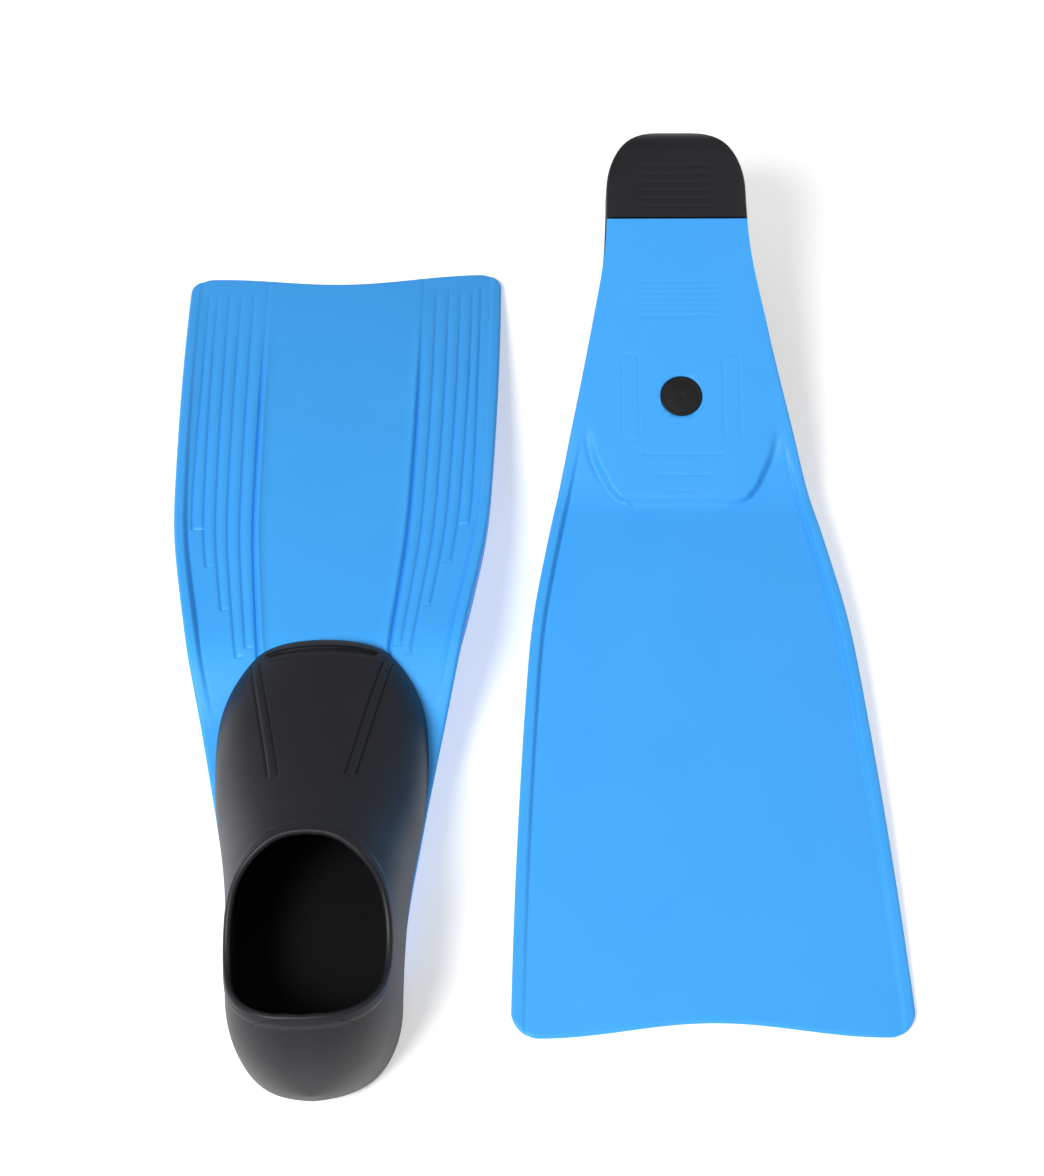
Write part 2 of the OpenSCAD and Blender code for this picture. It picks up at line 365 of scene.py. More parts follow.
def under_depth(x, s):
    """How far below the middle the underside is."""
    depth = rail_profile(x, s)
    if s < BULGE[-1][0] + BULGE_NOSE:
        inside = 1 - ease((x - bulge_half(s) + 5.5) / 5.5)
        depth = max(depth, mix(depth, bulge_depth(s), inside))
        depth -= CREASE_DEEP * dome((x - bulge_half(s) - 0.5) / 3.5) * dome((s - CREASE_S) / 24)
    return depth - sole_marks(x, s)


# %% [markdown]
# The rows are listed as well: 0.5 to 0.8 mm apart across the grip ribs, the slots and the
# ends of the grooves, and 4 to 5 mm apart along most of the blade. Near the tip they bend to
# follow its edge, and the last ones close the thickness in a rounded lip.

# %% Rows along the moulding
TIP_LIP = (2.2, 1.6, 1.1, 0.7, 0.35, 0.12, 0.0)
TIP_FLOW = 560
ROWS = steps(SOLE_START, 116, 5) + steps(116, 144, 0.6) + steps(144, 168, 5)
ROWS += steps(168, 172, 0.6) + steps(172, 227, 4) + steps(227, 271, 0.8) + steps(271, 294, 2)
ROWS += steps(294, 300, 0.6) + steps(300, 333, 4) + steps(333, 337.5, 0.6) + steps(337.5, 366, 4)
ROWS += steps(366, 370, 0.5) + steps(370, 600, 5) + steps(600, FIN_L - 3, 2.5)


def row_at(j, x):
    """Path length and lip height of row j for a column x from the middle."""
    end = path_end(x)
    if j >= len(ROWS):
        back = TIP_LIP[j - len(ROWS)]
        lip = math.sqrt(max(1 - (1 - back / TIP_LIP[0]) ** 2, 0))
        return end - back, lip
    s = ROWS[j]
    if s > TIP_FLOW:
        s = mix(TIP_FLOW, end - TIP_LIP[0], (s - TIP_FLOW) / (FIN_L - 3 - TIP_FLOW))
    return s, 1.0


def moulding_point(i, j):
    """Column i goes over the top from the middle line, round the edge and back underneath."""
    nominal = ROWS[j] if j < len(ROWS) else FIN_L
    above = i <= COLUMNS
    columns = top_columns if above else under_columns
    k = min(i if above else 2 * COLUMNS - i, COLUMNS - 1)
    s, lip = row_at(j, min(columns(nominal)[k], TIP_W / 2))
    x = columns(s)[k] if nominal < TIP_FLOW else min(columns(nominal)[k], half_w(s))
    if i == COLUMNS:
        off = 0.0
    elif above:
        off = rail_profile(x, s) + top_relief(x, s)
    else:
        off = -under_depth(x, s)
    y, z, turn = middle(s)
    off *= lip
    return Vector((x, y + off * math.sin(turn), z + off * math.cos(turn)))


# %% [markdown]
# `wrapped_grid` is the one builder behind the moulding and the shoe: it makes a flat grid with
# the grid operator, moves each vertex to its place, mirrors the half across the middle line and
# welds what meets there. The normals are then made to point outwards.


# %% Wrap a grid and mirror it
def wrapped_grid(columns, rows, place_vertex, weld=0.004):
    """A skin of two mirrored halves. place_vertex gives the place of a column and a row."""
    bm = bmesh.new()
    bmesh.ops.create_grid(bm, x_segments=columns, y_segments=rows, size=0.5)
    for v in bm.verts:
        i = round((v.co.x + 0.5) * columns)
        j = round((v.co.y + 0.5) * rows)
        v.co = place_vertex(i, j)
    bmesh.ops.remove_doubles(bm, verts=bm.verts, dist=weld)
    half = bm.verts[:] + bm.edges[:] + bm.faces[:]
    bmesh.ops.mirror(bm, geom=half, matrix=Matrix.Identity(4), merge_dist=weld, axis="X")
    bmesh.ops.remove_doubles(bm, verts=bm.verts, dist=weld)
    bmesh.ops.dissolve_degenerate(bm, edges=bm.edges, dist=weld / 4)
    return bm


def outwards(bm):
    """Turns the faces of a closed shape to point out of it."""
    bmesh.ops.recalc_face_normals(bm, faces=bm.faces)
    if bm.calc_volume(signed=True) < 0:
        bmesh.ops.reverse_faces(bm, faces=bm.faces)


def to_object(bm, name):
    """Puts a bmesh in a new object and smooths it, apart from its sharp corners."""
    mesh = bpy.data.meshes.new(name)
    bm.to_mesh(mesh)
    open_edges = sum(1 for e in bm.edges if len(e.link_faces) != 2)
    print(f"{name}: {len(bm.faces)} faces, {open_edges} open edges, {bm.calc_volume() / 1000:.1f} cm3")
    bm.free()
    mesh.shade_smooth()
    mesh.set_sharp_from_angle(angle=math.radians(50))
    piece = bpy.data.objects.new(name, mesh)
    bpy.context.scene.collection.objects.link(piece)
    return piece


def carve(piece, cutter):
    """Takes the cutter's solid out of the piece, and removes the cutter."""
    cut = piece.modifiers.new("cut", "BOOLEAN")
    cut.operation, cut.solver, cut.object = "DIFFERENCE", "EXACT", cutter
    apply_modifiers(piece)
    bpy.data.objects.remove(cutter)


def apply_modifiers(piece):
    """Puts what the piece's modifiers make into its mesh."""
    graph = bpy.context.evaluated_depsgraph_get()
    done = bpy.data.meshes.new_from_object(piece.evaluated_get(graph))
    piece.modifiers.clear()
    piece.data = done


# %% Blue moulding, in the fin's own frame
PLUG_Y, PLUG_D, HEAD_D, HEAD_T = 199, 28, 36, 1.5
bm = wrapped_grid(2 * COLUMNS, len(ROWS) + len(TIP_LIP) - 1, moulding_point)
heel_end = [e for e in bm.edges if len(e.link_faces) == 1]
bmesh.ops.holes_fill(bm, edges=heel_end, sides=0)
outwards(bm)
moulding = to_object(bm, "blue_moulding")


# %% [markdown]
# The round hole in the sole is cut with a Boolean, because its edge has to be a true circle. The
# cutter is a turned shape, wider at the top, where the head of the plug lies.


# %% Turn a profile into a round solid
def turned(profile, name, centre_y, sides=96):
    """Spins a profile of (radius, height) about an upright axis at centre_y."""
    bm = bmesh.new()
    points = [bm.verts.new((r, 0, z)) for r, z in profile]
    edges = [bm.edges.new(pair) for pair in zip(points, points[1:])]
    bmesh.ops.spin(bm, geom=points + edges, axis=(0, 0, 1), cent=(0, 0, 0), steps=sides,
                   angle=math.tau, use_merge=True)
    bmesh.ops.remove_doubles(bm, verts=bm.verts, dist=0.001)
    bmesh.ops.translate(bm, verts=bm.verts, vec=(0, centre_y, 0))
    outwards(bm)
    return to_object(bm, name)


hole_profile = [(0, -2), (PLUG_D / 2, -2), (PLUG_D / 2, SOLE_T - HEAD_T)]
hole_profile += [(HEAD_D / 2, SOLE_T - HEAD_T), (HEAD_D / 2, SOLE_T + 2), (0, SOLE_T + 2)]
carve(moulding, turned(hole_profile, "hole_cutter", PLUG_Y))
print("moulding after the hole:", len(moulding.data.polygons), "faces")

# %% [markdown]
# ## The black rubber shoe
# The foot pocket and the heel are one piece of soft rubber, 4 mm thick, with an egg-shaped opening
# for the foot. The outside is a row of upright slices, each a rounded arch, and the rim cuts them
# at the ankle. Half of that skin is wrapped from a grid as before. Two cuts open its floor ahead
# of the heel, where the blue sole goes. A Solidify modifier then gives the wall its thickness
# inwards, and the rim is rounded last.

# %% Slices of the shoe
HEEL_W, HEEL_R, WALL = 95, 55, 4
SHOE_HALF = [[55, 47.5, 0.02], [95, 49.5, 0.08], [150, 58, 0.2], [200, 62.5, 0], [240, 56.5, -0.35]]
SHOE_HALF += [[268, 38, -1.1]]
SHOE_TOP = [[0, 34, 3.2], [24, 79, 1.2], [60, 104, 0.3], [100, 100, -0.35], [130, 88, -0.55]]
SHOE_TOP += [[200, 53, -0.4], [258, 30, -0.42], [268, 23, -0.9]]
RIM = [[30, 85, -0.75], [66, 62, -0.1], [98, 69, 0.5], [118, 82.4, 0.6], [131, 87.8, 0.25]]
RIM_FRONT_STEEP = 14.5


def shoe_slice(y):
    """Half-width, lowest and highest level, and roundness of the slice at y."""
    if y < HEEL_R:
        w = HEEL_W / 2 * math.sqrt(max(1 - ((HEEL_R - y) / HEEL_R) ** 2.3, 0))
    else:
        w = through(SHOE_HALF, y)
    low = 20 * max((26 - y) / 26, 0) ** 3
    return w, low, through(SHOE_TOP, y), mix(0.72, 0.92, ease((y - 70) / 90))


def rim_z(y):
    """Height of the rim's line at y, carried on past its first and last station."""
    if y < RIM[0][0]:
        return RIM[0][1] + 0.5 * (RIM[0][0] - y)
    if y > RIM[-1][0]:
        return RIM[-1][1] + RIM_FRONT_STEEP * (y - RIM[-1][0])
    return through(RIM, y)


def meets_rim(inside, outside):
    """The y between a closed slice and an open one at which the top reaches the rim."""
    for _ in range(40):
        y = (inside + outside) / 2
        if shoe_slice(y)[2] < rim_z(y):
            inside = y
        else:
            outside = y
    return (inside + outside) / 2


RIM_BACK, RIM_FRONT = meets_rim(10, 60), meets_rim(160, 100)
print(f"opening from y {RIM_BACK:.1f} to {RIM_FRONT:.1f} mm")

# %% [markdown]
# The columns of each slice are spread by the length of its arch, so they stay even over the heel's
# round back and the flat instep. Three groups are closer together: round the bottom corner, along
# the two slanting grooves of the instep panel, and under the rim, where the lip is a little proud.
# Behind the instep the second group stays 62 percent of the way up the arch.

# %% Columns of a slice
VAMP_LINE = [[165, 21, 0.2], [255, 40, 0.22]]
BEHIND_LINE = 0.62
NEAR_VAMP = (-5.6, -4.8, -4.2, -3.7, -3.2, -2.7, -2.2, -1.6, -0.8, 0)
NEAR_VAMP += (0.8, 1.6, 2.2, 2.7, 3.2, 3.7, 4.2, 4.8, 5.6)
NEAR_RIM = (-6.5, -5.6, -4.9, -4.3, -3.7, -3.0, -2.2, -1.4, -0.6, 0)
BOTTOM, CORNER, FLANK, INSTEP, SAMPLES = 10, 5, 24, 10, 90
CORNER_R = 4.0


def arch(y, inset):
    """Points up the side of a slice, from its bottom edge to the rim or the middle line."""
    w, low, top, k = shoe_slice(y)
    w, top = max(w - inset, 0), top - inset
    share = min((rim_z(y) - low) / (top - low), 1) if RIM_BACK < y < RIM_FRONT else 1
    end = math.asin(share ** (1 / k))
    points = []
    for i in range(SAMPLES + 1):
        a = end * i / SAMPLES
        points.append((w * max(math.cos(a), 0) ** k if a < math.pi / 2 - 1e-6 else 0.0,
                       low + (top - low) * math.sin(a) ** k))
    return points


def slice_columns(y, inset):
    """The slice's points as (x, z, outward x, outward z), and how far they are from the line."""
    points = arch(y, inset)
    lengths = [0.0]
    for (x0, z0), (x1, z1) in zip(points, points[1:]):
        lengths.append(lengths[-1] + math.hypot(x1 - x0, z1 - z0))
    total = lengths[-1]
    line_x = through(VAMP_LINE, min(max(y, 160), 262))
    reach = next((i for i, p in enumerate(points) if p[0] <= line_x), len(points) - 1)
    line = mix(BEHIND_LINE * total, lengths[reach], ease((y - RIM_FRONT) / 28))
    if 0 < reach and y > RIM_FRONT:
        (x0, _), (x1, _) = points[reach - 1], points[reach]
        part = (x0 - line_x) / max(x0 - x1, 1e-6)
        exact = mix(lengths[reach - 1], lengths[reach], min(max(part, 0), 1))
        line = mix(BEHIND_LINE * total, exact, ease((y - RIM_FRONT) / 28))
    tight = min(1, total / 55)
    r = min(CORNER_R, points[0][0] * 0.5, total * 0.2)
    first, last = line + NEAR_VAMP[0] * tight, line + NEAR_VAMP[-1] * tight
    near_end = total + NEAR_RIM[0] * tight
    where = [mix(r, first, i / FLANK) for i in range(FLANK)]
    where += [line + d * tight for d in NEAR_VAMP]
    where += [mix(last, near_end, (i + 1) / (INSTEP + 1)) for i in range(INSTEP)]
    where += [total + d * tight for d in NEAR_RIM]
    w, low = points[0]
    row = [((w - r) * i / BOTTOM, low, 0.0, -1.0, 99.0) for i in range(BOTTOM)]
    for i in range(CORNER):
        a = math.pi / 2 * i / CORNER
        row.append((w - r + r * math.sin(a), low + r - r * math.cos(a), math.sin(a), -math.cos(a), 99.0))
    k = 0
    for at in where:
        while k < len(points) - 2 and lengths[k + 1] < at:
            k += 1
        (x0, z0), (x1, z1) = points[k], points[k + 1]
        size = max(lengths[k + 1] - lengths[k], 1e-9)
        t = min(max((at - lengths[k]) / size, 0), 1)
        out_x, out_z = (z1 - z0) / size, (x0 - x1) / size
        row.append((mix(x0, x1, t), mix(z0, z1, t), out_x, out_z, at - line))
    return row


SHOE_COLUMNS = BOTTOM + CORNER + FLANK + len(NEAR_VAMP) + INSTEP + len(NEAR_RIM)
print("shoe: half of a slice has", SHOE_COLUMNS, "columns")

# %% [markdown]
# The shoe's relief is small. The lip of the rim stands 1.1 mm proud for 4 mm. Two grooves 6 mm
# apart, with a flat bead between, slant down each side of the instep. Behind the front edge there
# is a blind slot, and the heel has a few grip ribs underneath.

# %% Relief and rows of the shoe
LIP_PROUD, LIP_W = 1.1, 3.9
SLOT_Y, SLOT_HALF_Y, SLOT_HALF_X, SLOT_DEEP = 258.2, 2.9, 34, 2.2
HEEL_RIB_Y, HEEL_RIB_PITCH, HEEL_RIB_DEEP = 34, 6, 0.35
TOE_R, TOE_Z, TOE_BOW = 4.0, 12, 2.8
TOE_TURNS = [math.radians(a) for a in range(15, 91, 15)]
TOE_CLOSE = (0.75, 0.5, 0.25, 0.0)
rim_view = [(y, rim_z(y)) for y in steps(10, 131, 2) + [131, 134]]


def to_rim(y, z):
    """Distance from a point of the side view to the rim's line."""
    best = 99.0
    for (y0, z0), (y1, z1) in zip(rim_view, rim_view[1:]):
        if min(abs(y0 - y), abs(y1 - y)) < 14:
            dy, dz = y1 - y0, z1 - z0
            t = min(max(((y - y0) * dy + (z - z0) * dz) / (dy * dy + dz * dz), 0), 1)
            best = min(best, math.hypot(y - y0 - t * dy, z - z0 - t * dz))
    return best


def shoe_relief(x, y, z, off_line):
    """How far the skin stands proud. off_line is the distance from the instep's slanting line."""
    near_rim = 1 - ease((to_rim(y, z) - LIP_W) / 1.2) if 14 < y < 142 else 0.0
    proud = LIP_PROUD * near_rim * mix(1, 0.2, ease((y - 106) / 18))
    if 160 < y < 256 and abs(off_line) < 6:
        ends = ease((y - 166) / 3) * ease((255 - y) / 2)
        proud += ends * (0.5 * dome(off_line / 2.6) - 0.9 * dome((abs(off_line) - 3.2) / 1.1))
    if abs(y - SLOT_Y) < 6 and z > TOE_Z:
        inside = ease((SLOT_HALF_Y - abs(y - SLOT_Y)) / 0.9) * ease((SLOT_HALF_X - x) / 1.6)
        lip = dome((y - SLOT_Y + SLOT_HALF_Y + 1) / 1.3) * ease((SLOT_HALF_X - x) / 1.6)
        proud += 0.5 * lip - SLOT_DEEP * inside
    return proud


def heel_ribs(x, y):
    """Depth of the grip ribs under the heel."""
    at = (y - HEEL_RIB_Y) / HEEL_RIB_PITCH
    wave = dome((at - round(at)) * HEEL_RIB_PITCH / 1.2) if HEEL_RIB_Y - 2 < y < HEEL_RIB_Y + 32 else 0.0
    return HEEL_RIB_DEEP * wave * ease((25 - x) / 1.5)


SHOE_ROWS = [0, 0.12, 0.5, 1.1, 2, 3.2, 4.8, 6.8, 9.2, 12, 14.6, 17, 19.4]
SHOE_ROWS += [RIM_BACK + d for d in (-7, -5.4, -4.2, -3.6, -3.1, -2.6, -2.1, -1.4, -0.7, 0)]
SHOE_ROWS += [RIM_BACK + d for d in (0.25, 0.7, 1.3, 2)] + steps(RIM_BACK + 2.75, 67, 0.75)
SHOE_ROWS += steps(67, RIM_FRONT - 6.6, 2.4)
SHOE_ROWS += [RIM_FRONT - d for d in (5.6, 4.4, 3.4, 2.5, 1.7, 1.05, 0.55, 0.2, 0)]
SHOE_ROWS += steps(RIM_FRONT + 0.6, 140, 0.7) + steps(140, 164, 2) + steps(164, 170, 1)
SHOE_ROWS += steps(170, 252, 2) + steps(252, POCKET_L - TOE_R, 0.5) + [POCKET_L - TOE_R]
row_cache = {}


def shoe_point(i, j):
    """Row j goes along the foot and closes over the toe. Column i goes from under the middle up."""
    inset, shrink = 0.0, 1.0
    if j < len(SHOE_ROWS):
        y = SHOE_ROWS[j]
    elif j < len(SHOE_ROWS) + len(TOE_TURNS):
        turn = TOE_TURNS[j - len(SHOE_ROWS)]
        y, inset = POCKET_L - TOE_R + TOE_R * math.sin(turn), TOE_R * (1 - math.cos(turn))
    else:
        y, inset = POCKET_L, TOE_R
        shrink = TOE_CLOSE[j - len(SHOE_ROWS) - len(TOE_TURNS)]
    if j not in row_cache:
        row_cache[j] = slice_columns(y, inset)
    x, z, out_x, out_z, off_line = row_cache[j][i]
    proud = shoe_relief(x, y, z, off_line)
    if i < BOTTOM and y > 5:
        proud = -heel_ribs(x, y)
    x = shrink * (x + proud * out_x) if x > 0.001 else 0.0
    front = ease((y - 215) / 50) * TOE_BOW * (x / 44) ** 2
    return Vector((x, y - front, mix(TOE_Z, z + proud * out_z, shrink)))


# %% Black shoe, in the fin's own frame
shoe_rows = len(SHOE_ROWS) + len(TOE_TURNS) + len(TOE_CLOSE)
bm = wrapped_grid(SHOE_COLUMNS - 1, shoe_rows - 1, shoe_point)
everything = bm.verts[:] + bm.edges[:] + bm.faces[:]
bmesh.ops.bisect_plane(bm, geom=everything, plane_co=(0, SOLE_START, 0), plane_no=(0, 1, 0), dist=0.001)
ahead = [f for f in bm.faces if f.calc_center_median().y > SOLE_START]
ahead += list({v for f in ahead for v in f.verts} | {e for f in ahead for e in f.edges})
bmesh.ops.bisect_plane(bm, geom=ahead, plane_co=(0, 0, SOLE_T - 0.1), plane_no=(0, 0, 1), dist=0.001,
                       clear_inner=True)
bmesh.ops.recalc_face_normals(bm, faces=bm.faces)
back_face = min(bm.faces, key=lambda f: f.calc_center_median().y)
if back_face.normal.y > 0:
    bmesh.ops.reverse_faces(bm, faces=bm.faces)
shoe = to_object(bm, "black_shoe")
shell = shoe.modifiers.new("wall", "SOLIDIFY")
shell.thickness, shell.offset, shell.use_even_offset, shell.use_rim = WALL, -1, False, True
shell.material_offset_rim = 1
for _ in ("skin", "rim"):
    shoe.data.materials.append(None)
apply_modifiers(shoe)

# %% [markdown]
# Solidify gave the flat bands along the open edges their own material number. The rim's band is
# the one high above the sole. A bevel would be wider than the thin faces at the back of the rim,
# so the edges across the band are subdivided instead, and the new vertices move to a half round.
# Three layers on the vertices tell each new one where it is: Blender fills them in between.

# %% Round the rim
RIM_ROUND, RIM_SEGMENTS = 1.6, 6
bm = bmesh.new()
bm.from_mesh(shoe.data)
bpy.data.objects.remove(shoe)
band = {f for f in bm.faces if f.material_index == 1 and f.calc_center_median().z > RIM[1][1] / 2}
across = [e for e in {e for f in band for e in f.edges} if band.issuperset(e.link_faces)]
part = bm.verts.layers.float.new("part")
out = bm.verts.layers.float_vector.new("out")
wall = bm.verts.layers.float_vector.new("wall")
for edge in across:
    a, b = edge.verts
    a[part], b[part] = 0.0, 1.0
    normal = sum((f.normal for f in edge.link_faces), Vector()).normalized()
    for v in edge.verts:
        v[out], v[wall] = normal, b.co - a.co
new = bmesh.ops.subdivide_edges(bm, edges=across, cuts=RIM_SEGMENTS - 1)["geom_inner"]
for v in [g for g in new if isinstance(g, bmesh.types.BMVert)]:
    turn = math.pi * v[part]
    v.co += ((1 - math.cos(turn)) / 2 - v[part]) * v[wall] + RIM_ROUND * math.sin(turn) * v[out]
bm.verts.layers.float.remove(part)
for name in ("out", "wall"):
    bm.verts.layers.float_vector.remove(bm.verts.layers.float_vector[name])
for f in bm.faces:
    f.material_index = 0
bmesh.ops.remove_doubles(bm, verts=bm.verts, dist=0.002)
outwards(bm)
print("rim: rounded across", len(across), "edges")
shoe = to_object(bm, "black_shoe")

# %% [markdown]
# ## Footbed and plug
# A thin rubber footbed lies in the shoe, and a rubber plug fills the drain hole through the sole. The
# footbed is a grid shaped to the inside of the shoe and extruded down. The plug is turned, with a
# soft edge, a thin sunk ring near it and a shallow dimple in the middle of the face that shows.

# %% Footbed, in the fin's own frame
BED_START, BED_END, BED_T, BED_GAP = 20, 238, 3, 4.3
bm = bmesh.new()
bed_across, bed_along = 36, 72
bmesh.ops.create_grid(bm, x_segments=bed_across, y_segments=bed_along, size=0.5)
for v in bm.verts:
    along = v.co.y + 0.5
    y = mix(BED_START, BED_END, along)
    near_end = min(along, 1 - along) * (BED_END - BED_START) / 14
    w = (shoe_slice(y)[0] - BED_GAP) * (1 - max(1 - near_end, 0) ** 2.6) ** 0.5
    x = 2 * v.co.x * max(w, 0.5)
    v.co = (x, y, SOLE_T + BED_T - 0.4 * (1 - (2 * v.co.x) ** 6))
sides = bmesh.ops.extrude_face_region(bm, geom=bm.faces[:])["geom"]
below = [g for g in sides if isinstance(g, bmesh.types.BMVert)]
bmesh.ops.translate(bm, verts=below, vec=(0, 0, -BED_T + 0.45))
outwards(bm)
footbed = to_object(bm, "footbed")

# %% Plug, in the fin's own frame
face_r = PLUG_D / 2
profile = [(0, 0.3), (1.8, 0.3), (2.5, 0.1), (3.2, 0.05), (face_r - 3.2, 0.05)]
profile += [(face_r - 2.7, 0.2), (face_r - 2.2, 0.05), (face_r - 1.3, 0.0)]
profile += [(face_r - 0.6, 0.15), (face_r - 0.15, 0.5)]
profile += [(face_r - 0.05, 1.0), (face_r - 0.05, SOLE_T - HEAD_T), (HEAD_D / 2 - 0.1, SOLE_T - HEAD_T)]
profile += [(HEAD_D / 2 - 0.1, SOLE_T - 0.3), (HEAD_D / 2 - 0.4, SOLE_T), (0, SOLE_T)]
plug = turned(profile, "sole_plug", PLUG_Y)

# %% [markdown]
# ## Materials
# One function turns a hex colour as seen on a screen into the linear colour the shaders want, and
# one adds a node with its settings and links.


# %% Colour and node helpers
def linear(code):
    """An sRGB hex colour as linear RGBA."""
    out = []
    for k in (0, 2, 4):
        c = int(code[k:k + 2], 16) / 255
        out.append(c / 12.92 if c <= 0.04045 else ((c + 0.055) / 1.055) ** 2.4)
    return (*out, 1.0)


def add(material, kind, settings=(), **inputs):
    """Adds a node. Settings are its properties. An input is a value or another node's socket.

    An input is given by its name, or by its place, as in _6, where several have one name.
    """
    tree = material.node_tree
    node = tree.nodes.new(kind)
    for name, value in dict(settings).items():
        setattr(node, name, value)
    for name, value in inputs.items():
        place_or_name = int(name[1:]) if name[1:].isdigit() else name.replace("_", " ")
        socket = node.inputs[place_or_name]
        if isinstance(value, bpy.types.NodeSocket):
            tree.links.new(value, socket)
        else:
            socket.default_value = value
    return node


def new_material(name):
    """A new material and its Principled shader."""
    material = bpy.data.materials.new(name)
    material.use_nodes = True
    shader = material.node_tree.nodes["Principled BSDF"]
    return material, shader


# %% [markdown]
# ### Blue thermoplastic rubber
# The blade and the sole are injection moulded in a thermoplastic rubber. It comes out of a steel
# mould with a fine spark-eroded grain, so it looks satin, never glossy. The pigment is strong and
# even, with only slow, faint clouds. The grain is about 0.3 mm on the real thing. It is drawn at
# 0.7 mm, because a finer one would not show.

# %% Blue moulding material
GRAIN_MM, CLOUD_MM = 0.7, 60
PER_M = 1000
blue, shader = new_material("moulded_thermoplastic_rubber_blue")
where = add(blue, "ShaderNodeTexCoord").outputs["Object"]
clouds = add(blue, "ShaderNodeTexNoise", Vector=where, Scale=PER_M / CLOUD_MM, Detail=3.0)
tint = add(blue, "ShaderNodeMix", {"data_type": "RGBA"}, _0=clouds.outputs["Fac"],
           _6=linear("369be8"), _7=linear("3ca1ed"))
grain = add(blue, "ShaderNodeTexNoise", Vector=where, Scale=PER_M / GRAIN_MM, Detail=2.0)
gloss = add(blue, "ShaderNodeMapRange", Value=clouds.outputs["Fac"], To_Min=0.46, To_Max=0.56)
bump = add(blue, "ShaderNodeBump", Height=grain.outputs["Fac"], Strength=0.12, Distance=0.0002)
blue.node_tree.links.new(tint.outputs[2], shader.inputs["Base Color"])
blue.node_tree.links.new(gloss.outputs["Result"], shader.inputs["Roughness"])
blue.node_tree.links.new(bump.outputs["Normal"], shader.inputs["Normal"])
shader.inputs["IOR"].default_value = 1.5
shader.inputs["Specular IOR Level"].default_value = 0.35

# %% [markdown]
# ### Black rubber
# The shoe is a soft thermoplastic rubber, moulded over the sole in a bead-blasted mould: a
# charcoal black with a broad soft sheen. Handling leaves faint lighter clouds, and the grain is a
# little coarser than the blade's. The same recipe, a little drier, makes the plug, and with
# almost no sheen the footbed.


# %% Black rubber materials
def black_rubber(name, dark, light, rough_from, rough_to, grain_mm, relief, specular):
    """A black rubber between two tones, with a range of roughness and a grain."""
    material, shader = new_material(name)
    where = add(material, "ShaderNodeTexCoord").outputs["Object"]
    clouds = add(material, "ShaderNodeTexNoise", Vector=where, Scale=PER_M / 35, Detail=4.0)
    tint = add(material, "ShaderNodeMix", {"data_type": "RGBA"}, _0=clouds.outputs["Fac"],
               _6=linear(dark), _7=linear(light))
    grain = add(material, "ShaderNodeTexNoise", Vector=where, Scale=PER_M / grain_mm, Detail=2.0)
    gloss = add(material, "ShaderNodeMapRange", Value=clouds.outputs["Fac"], To_Min=rough_from,
                To_Max=rough_to)
    bump = add(material, "ShaderNodeBump", Height=grain.outputs["Fac"], Strength=relief,
               Distance=0.0003)
    material.node_tree.links.new(tint.outputs[2], shader.inputs["Base Color"])
    material.node_tree.links.new(gloss.outputs["Result"], shader.inputs["Roughness"])
    material.node_tree.links.new(bump.outputs["Normal"], shader.inputs["Normal"])
    shader.inputs["IOR"].default_value = 1.52
    shader.inputs["Specular IOR Level"].default_value = specular
    return material


rubber = black_rubber("overmoulded_rubber_black", "0e0f14", "16171c", 0.42, 0.54, 0.9, 0.16, 0.32)
plug_rubber = black_rubber("moulded_rubber_plug", "0a0a0c", "0f0f12", 0.5, 0.6, 1.1, 0.2, 0.25)
inner_rubber = black_rubber("moulded_rubber_footbed", "07080a", "0a0b0d", 0.75, 0.88, 1.6, 0.4, 0.12)

# %% [markdown]
# ## Put the pieces on each fin
# Each drawing is copied, laid in its place and given its material. The shoe stands for the foot
# pocket and the heel cup, and it is blended between those bodies, because the rubber stretches
# when the heel leans back. The moulding stands for the sole and the blade in the same way.


# %% Lay a copy of a piece
def lay(drawing, name, side, material, slot, *nodes):
    """Lays a copy on one fin, with its material and the nodes that it stands for. Its slot is not used."""
    mesh = drawing.data.copy()
    mesh.transform(place[side])
    mesh.materials.clear()
    mesh.materials.append(material)
    piece = bpy.data.objects.new(f"{side}_{name}", mesh)
    bpy.context.scene.collection.objects.link(piece)
    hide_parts(*[f"{side}_{node}" for node in nodes])
    return piece


def spot(side, s):
    """A point of the moulding's middle line, in the shared frame."""
    y, z, _ = middle(s)
    return place[side] @ Vector((0, y, z))


for side in SIDES:
    foot, blade, heel = f"{side}_foot", f"{side}_blade", f"{side}_heel"
    piece = lay(moulding, "moulding", side, blue, "blue_moulding", "sole_plate", "blade")
    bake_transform(piece, foot, blade, start=spot(side, 282), end=spot(side, 442))
    piece = lay(shoe, "shoe", side, rubber, "black_rubber", "foot_pocket", "heel_cup")
    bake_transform(piece, foot, heel, start=place[side] @ Vector((0, 60, 15)),
             end=place[side] @ Vector((0, 15, 75)))
    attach(lay(footbed, "insole", side, inner_rubber, "footbed_rubber", "footbed"), foot)
    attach(lay(plug, "drain_plug", side, plug_rubber, "plug_rubber", "sole_plug"), foot)
for drawing in (moulding, shoe, footbed, plug):
    bpy.data.objects.remove(drawing)

# %% [markdown]
# ## Floor, light and camera
# The pair lies on a light table: a white acrylic sheet with a weak light under it, which keeps the
# shadows pale. A broad soft light above the near left edge shapes the grooves, and a weaker one
# fills the right.

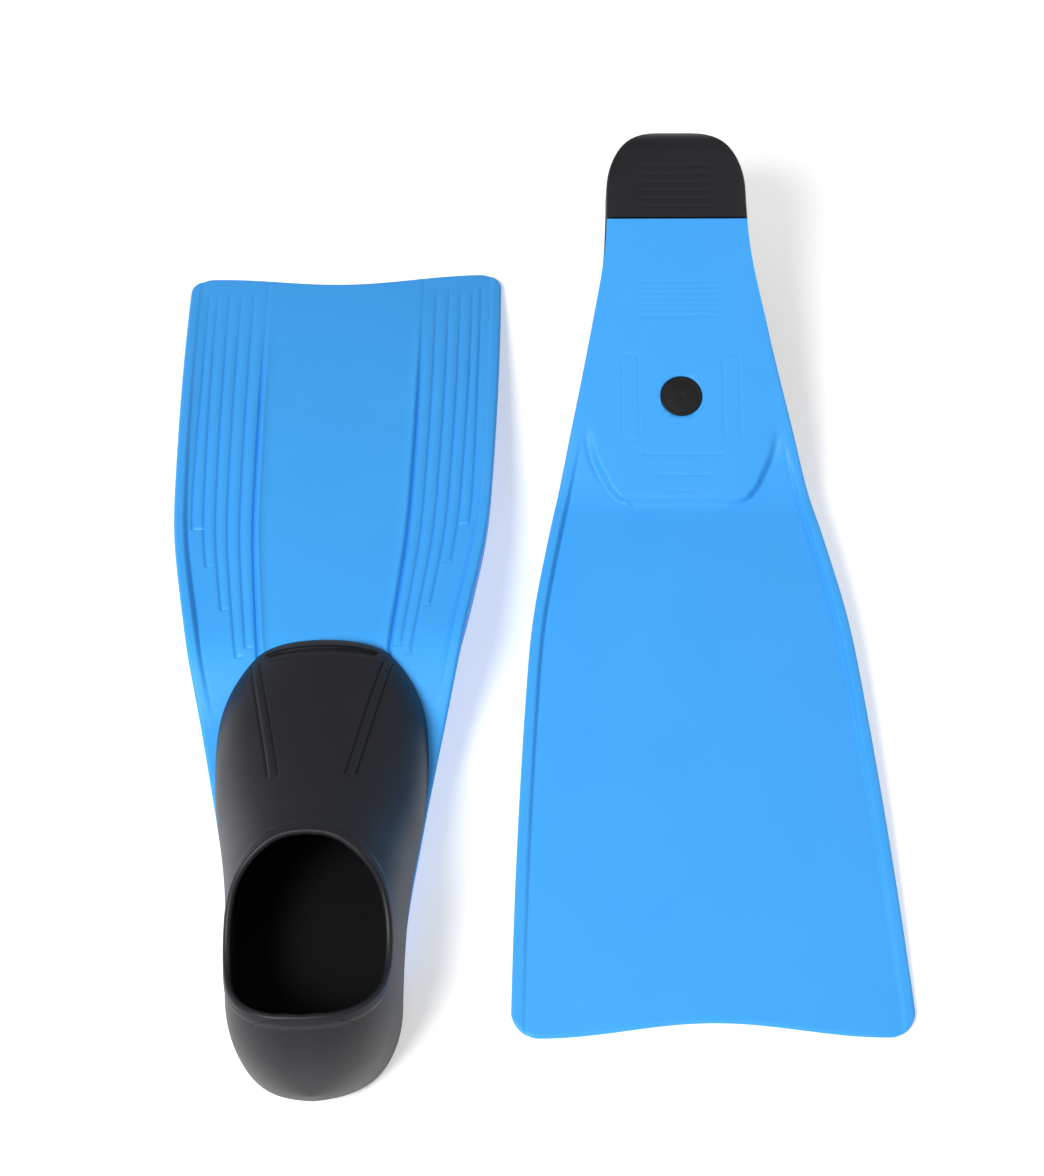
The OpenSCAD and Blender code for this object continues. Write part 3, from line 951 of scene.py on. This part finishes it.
# %% Floor
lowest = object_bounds()[0].z
bm = bmesh.new()
bmesh.ops.create_grid(bm, x_segments=1, y_segments=1, size=6)
bmesh.ops.translate(bm, verts=bm.verts, vec=(0, 0, lowest))
sheet, shader = new_material("lit_white_acrylic_sheet")
shader.inputs["Base Color"].default_value = linear("f4f4f4")
shader.inputs["Roughness"].default_value = 0.9
shader.inputs["Emission Color"].default_value = linear("ffffff")
shader.inputs["Emission Strength"].default_value = 0.35
floor = to_object(bm, "floor")
floor.data.materials.append(sheet)


# %% Lights
def soft_light(name, place_at, aim, size, power):
    """A round area light, turned towards aim."""
    lamp = bpy.data.lights.new(name, "AREA")
    lamp.shape, lamp.size, lamp.energy = "DISK", size, power
    light = bpy.data.objects.new(name, lamp)
    light.location = place_at
    light.rotation_euler = (Vector(aim) - Vector(place_at)).to_track_quat("-Z", "Y").to_euler()
    bpy.context.scene.collection.objects.link(light)


soft_light("key", (-0.8, -0.95, 1.45), (0, 0, 0), 0.7, 33)
soft_light("fill", (1.1, 0.3, 1.4), (0, 0, 0), 1.4, 4)
world = bpy.data.worlds.new("white_room")
world.use_nodes = True
world.node_tree.nodes["Background"].inputs["Color"].default_value = linear("ffffff")
world.node_tree.nodes["Background"].inputs["Strength"].default_value = 0.4
bpy.context.scene.world = world
bpy.context.scene.view_settings.view_transform = "Standard"

# %% Camera
ELEVATION, DISTANCE, AIM = 55, 1.2, Vector((0.0106, 0.0176, 0))
FRAME_PX_H, FOCAL_PX, SENSOR_H = 1176, 1850, 24
rise = math.radians(ELEVATION)
lens = bpy.data.cameras.new("camera")
lens.sensor_fit, lens.sensor_height = "VERTICAL", SENSOR_H
lens.lens = FOCAL_PX / FRAME_PX_H * SENSOR_H
camera = bpy.data.objects.new("camera", lens)
camera.location = AIM + DISTANCE * Vector((0, -math.cos(rise), math.sin(rise)))
camera.rotation_euler = (math.pi / 2 - rise, 0, 0)
bpy.context.scene.collection.objects.link(camera)
bpy.context.scene.camera = camera
print(f"camera {DISTANCE} m away, {lens.lens:.1f} mm lens")
